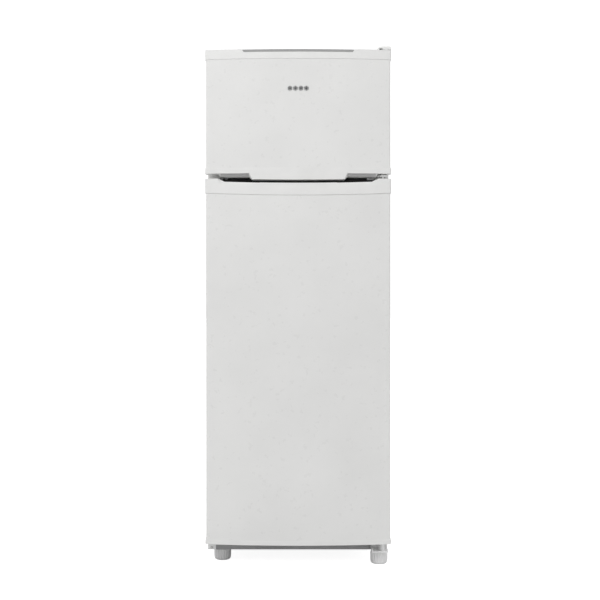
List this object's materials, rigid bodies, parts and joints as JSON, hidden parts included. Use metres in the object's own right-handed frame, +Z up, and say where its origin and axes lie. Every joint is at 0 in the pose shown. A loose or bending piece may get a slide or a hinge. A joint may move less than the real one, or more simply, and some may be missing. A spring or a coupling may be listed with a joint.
{
  "type": "top freezer refrigerator",
  "caption": "Free-standing household refrigerator with the freezer on top: bowed white doors hinged on the right, shelves, drawers, door bins, rear condenser and compressor.",
  "frame": {"origin": "on the floor under the middle of the bounding box", "axes": "+Z up, the doors face -Y, +X to the right as seen from in front (the hinged side)"},
  "size_m": [0.616, 0.69, 1.726],
  "materials": {
    "white_steel": "gloss",
    "galvanised_steel": "satin",
    "screw_steel": "satin",
    "white_plastic": "satin",
    "liner_plastic": "satin",
    "bin_plastic": "gloss",
    "foam": "matte",
    "gasket_rubber": "matte",
    "grey_grip_plastic": "satin",
    "grey_knob_plastic": "satin",
    "foot_plastic": "satin",
    "dark_grey_plastic": "matte",
    "badge_plastic": "gloss",
    "black_enamel": "satin",
    "black_rubber": "matte",
    "roller_plastic": "matte",
    "copper": "satin",
    "bare_aluminium": "satin",
    "shelf_glass": "gloss",
    "lamp_glass": "gloss",
    "clear_plastic": "gloss",
    "shelf_wire": "gloss",
    "tray_plastic": "satin"
  },
  "bodies": {
    "cabinet": {"cabinet_shell": "white_steel", "back_panel": "galvanised_steel", "bottom_panel": "galvanised_steel", "cabinet_insulation": "foam", "freezer_liner": "liner_plastic", "fridge_liner": "liner_plastic", "mullion_rail": "dark_grey_plastic", "front_base_rail": "dark_grey_plastic", "base_corner_plate": "galvanised_steel", "base_frame": "galvanised_steel", "compressor": "black_enamel", "compressor_grommets": "black_rubber", "relay_cover": "dark_grey_plastic", "refrigerant_tubes": "copper", "condenser_coil": "black_enamel", "condenser_wires": "black_enamel", "condenser_brackets": "black_enamel", "drip_pan": "dark_grey_plastic", "drain_hose": "white_plastic", "freezer_evaporator": "bare_aluminium", "fridge_evaporator": "bare_aluminium", "cord_gland": "dark_grey_plastic", "wall_spacers": "dark_grey_plastic", "top_hinge": "galvanised_steel", "top_hinge_cover": "white_plastic", "middle_hinge": "white_steel", "bottom_hinge": "galvanised_steel", "hinge_screws": "screw_steel", "hinge_hole_plugs": "white_plastic", "roller_brackets": "galvanised_steel", "freezer_shelf": "shelf_wire", "ice_trays": "tray_plastic", "shelf_glass": "shelf_glass", "shelf_trims": "white_plastic", "control_housing": "white_plastic", "lamp": "lamp_glass", "lamp_lens": "clear_plastic"},
    "freezer_door": {"freezer_door_skin": "white_steel", "freezer_door_caps": "white_plastic", "freezer_door_foam": "foam", "freezer_door_liner": "liner_plastic", "freezer_door_gasket": "gasket_rubber", "freezer_door_trims": "grey_grip_plastic", "freezer_door_bins": "bin_plastic", "door_badge": "badge_plastic"},
    "fridge_door": {"fridge_door_skin": "white_steel", "fridge_door_caps": "white_plastic", "fridge_door_foam": "foam", "fridge_door_liner": "liner_plastic", "fridge_door_gasket": "gasket_rubber", "fridge_door_bins": "bin_plastic"},
    "dairy_lid": {"dairy_cover": "clear_plastic"},
    "crisper": {"crisper_drawer": "clear_plastic"},
    "chiller": {"chiller_drawer": "clear_plastic"},
    "knob": {"thermostat_knob": "grey_knob_plastic"},
    "switch_button": {"light_switch_button": "white_plastic"},
    "left_foot": {"front_left_foot": "foot_plastic"},
    "right_foot": {"front_right_foot": "foot_plastic"},
    "left_roller": {"rear_roller_left": "roller_plastic"},
    "right_roller": {"rear_roller_right": "roller_plastic"}
  },
  "joints": [
    {"name": "freezer_door_hinge", "type": "hinge", "parent": "cabinet", "child": "freezer_door", "pos_m": [0.281, -0.302, 1.5], "axis": [0, 0, 1], "range_deg": [0, 135]},
    {"name": "fridge_door_hinge", "type": "hinge", "parent": "cabinet", "child": "fridge_door", "pos_m": [0.281, -0.302, 0.7], "axis": [0, 0, 1], "range_deg": [0, 135]},
    {"name": "dairy_lid_hinge", "type": "hinge", "parent": "fridge_door", "child": "dairy_lid", "pos_m": [0, -0.253, 1.093], "axis": [1, 0, 0], "range_deg": [0, 72]},
    {"name": "crisper_slide", "type": "slide", "parent": "cabinet", "child": "crisper", "axis": [0, -1, 0], "range_m": [0, 0.038]},
    {"name": "chiller_slide", "type": "slide", "parent": "cabinet", "child": "chiller", "axis": [0, -1, 0], "range_m": [0, 0.1]},
    {"name": "thermostat_turn", "type": "hinge", "parent": "cabinet", "child": "knob", "pos_m": [-0.052, -0.134, 1.236], "axis": [0, -1, 0], "range_deg": [0, 270]},
    {"name": "light_switch_push", "type": "slide", "parent": "cabinet", "child": "switch_button", "axis": [0, 1, 0], "range_m": [0, 0.006], "stiffness_N_per_m": 150},
    {"name": "left_foot_screw", "type": "slide", "parent": "cabinet", "child": "left_foot", "axis": [0, 0, -1], "range_m": [0, 0.01]},
    {"name": "right_foot_screw", "type": "slide", "parent": "cabinet", "child": "right_foot", "axis": [0, 0, -1], "range_m": [0, 0.01]},
    {"name": "left_roller_spin", "type": "hinge", "parent": "cabinet", "child": "left_roller", "pos_m": [-0.257, 0.254, 0.022], "axis": [1, 0, 0], "continuous": true},
    {"name": "right_roller_spin", "type": "hinge", "parent": "cabinet", "child": "right_roller", "pos_m": [0.257, 0.254, 0.022], "axis": [1, 0, 0], "continuous": true}
  ]
}
